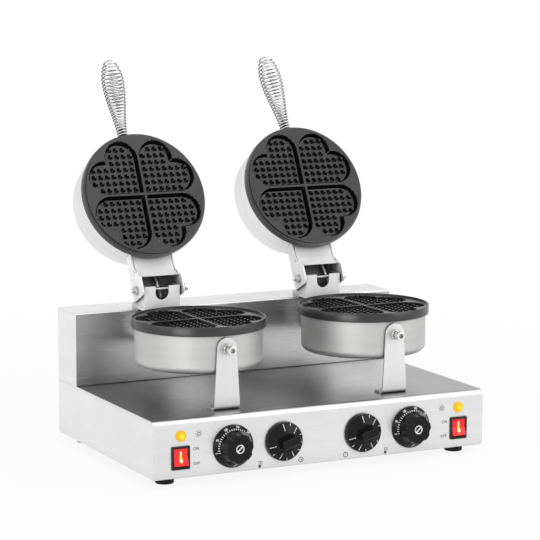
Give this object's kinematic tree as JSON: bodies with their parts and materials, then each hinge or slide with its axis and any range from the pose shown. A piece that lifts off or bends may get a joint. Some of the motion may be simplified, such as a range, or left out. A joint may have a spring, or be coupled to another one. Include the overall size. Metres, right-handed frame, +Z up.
{
  "type": "double waffle maker",
  "caption": "Countertop waffle maker: round heart-pattern plates under hinged lids with wire handles, on a folded steel base with dials, lamps and rocker switches.",
  "frame": {"origin": "under the middle of the bounding box with both lids open, level with the undersides of the feet", "axes": "+X to the machine's right seen from the user, +Y to its back, +Z up"},
  "size_m": [0.5, 0.4566, 0.5345],
  "materials": {
    "housing_steel": "light brushed sheet",
    "riser_steel": "brushed sheet, brighter reflections",
    "drum_steel": "satin, turned round",
    "bracket_steel": "satin",
    "fastener_steel": "zinc bright",
    "coated_aluminium": "dark non-stick coating",
    "heater_steel": "dull",
    "handle_chrome": "bright",
    "stud_steel": "dark",
    "conduit_steel": "braided",
    "foot_rubber": "matt",
    "dial_plastic": "black with white marks",
    "amber_plastic": "clear amber",
    "switch_plastic": "black",
    "rocker_plastic": "red",
    "gland_plastic": "black",
    "control_plastic": "dark",
    "terminal_plastic": "off white"
  },
  "bodies": {
    "base": {"base_end_left": "housing_steel", "base_end_right": "housing_steel", "base_shell": "housing_steel", "bottom_cover": "housing_steel", "bracket_nuts": "fastener_steel", "bracket_screws": "fastener_steel", "cable_gland": "gland_plastic", "conduit_left": "conduit_steel", "conduit_right": "conduit_steel", "cover_screws": "fastener_steel", "feet": "foot_rubber", "foot_screws": "fastener_steel", "front_bracket_left": "bracket_steel", "front_bracket_right": "bracket_steel", "gland_locknut": "gland_plastic", "hinge_nuts": "fastener_steel", "hinge_screws": "fastener_steel", "hinge_washers": "fastener_steel", "hinge_yoke_left": "bracket_steel", "hinge_yoke_right": "bracket_steel", "lamp_holders": "control_plastic", "lamp_lens_left": "amber_plastic", "lamp_lens_right": "amber_plastic", "lower_drum_left": "drum_steel", "lower_drum_right": "drum_steel", "lower_heater_left": "heater_steel", "lower_heater_right": "heater_steel", "lower_plate_left": "coated_aluminium", "lower_plate_right": "coated_aluminium", "rear_bracket_left": "bracket_steel", "rear_bracket_right": "bracket_steel", "riser_end_left": "riser_steel", "riser_end_right": "riser_steel", "riser_shell": "riser_steel", "switch_body_left": "switch_plastic", "switch_body_right": "switch_plastic", "terminal_block": "terminal_plastic", "thermostat_body_left": "control_plastic", "thermostat_body_right": "control_plastic", "timer_body_left": "control_plastic", "timer_body_right": "control_plastic"},
    "lid_left": {"hinge_arm_left": "bracket_steel", "lid_drum_left": "drum_steel", "lid_plate_left": "coated_aluminium", "lid_heater_left": "heater_steel", "handle_stud_left": "stud_steel", "handle_spring_left": "handle_chrome"},
    "thermostat_dial_left": {"thermostat_knob_left": "dial_plastic"},
    "timer_dial_left": {"timer_knob_left": "dial_plastic"},
    "rocker_left": {"switch_rocker_left": "rocker_plastic"},
    "lid_right": {"hinge_arm_right": "bracket_steel", "lid_drum_right": "drum_steel", "lid_plate_right": "coated_aluminium", "lid_heater_right": "heater_steel", "handle_stud_right": "stud_steel", "handle_spring_right": "handle_chrome"},
    "thermostat_dial_right": {"thermostat_knob_right": "dial_plastic"},
    "timer_dial_right": {"timer_knob_right": "dial_plastic"},
    "rocker_right": {"switch_rocker_right": "rocker_plastic"}
  },
  "joints": [
    {"name": "lid_left_hinge", "type": "hinge", "parent": "base", "child": "lid_left", "pos_m": [-0.1277, 0.0535, 0.2196], "axis": [1, 0, 0], "range_deg": [0, 116.2], "deforming": ["conduit_left"]},
    {"name": "thermostat_left_turn", "type": "hinge", "parent": "base", "child": "thermostat_dial_left", "pos_m": [-0.135, -0.2055, 0.0468], "axis": [0, -1, 0], "range_deg": [-100, 170]},
    {"name": "timer_left_turn", "type": "hinge", "parent": "base", "child": "timer_dial_left", "pos_m": [-0.06, -0.2055, 0.0462], "axis": [0, -1, 0], "range_deg": [-300, 0]},
    {"name": "switch_left_rock", "type": "hinge", "parent": "base", "child": "rocker_left", "pos_m": [-0.211, -0.2025, 0.0384], "axis": [1, 0, 0], "range_deg": [0, 18]},
    {"name": "lid_right_hinge", "type": "hinge", "parent": "base", "child": "lid_right", "pos_m": [0.1277, 0.0535, 0.2196], "axis": [1, 0, 0], "range_deg": [0, 116.2], "deforming": ["conduit_right"]},
    {"name": "thermostat_right_turn", "type": "hinge", "parent": "base", "child": "thermostat_dial_right", "pos_m": [0.135, -0.2055, 0.0468], "axis": [0, -1, 0], "range_deg": [-100, 170]},
    {"name": "timer_right_turn", "type": "hinge", "parent": "base", "child": "timer_dial_right", "pos_m": [0.06, -0.2055, 0.0462], "axis": [0, -1, 0], "range_deg": [-300, 0]},
    {"name": "switch_right_rock", "type": "hinge", "parent": "base", "child": "rocker_right", "pos_m": [0.211, -0.2025, 0.0384], "axis": [1, 0, 0], "range_deg": [0, 18]}
  ]
}
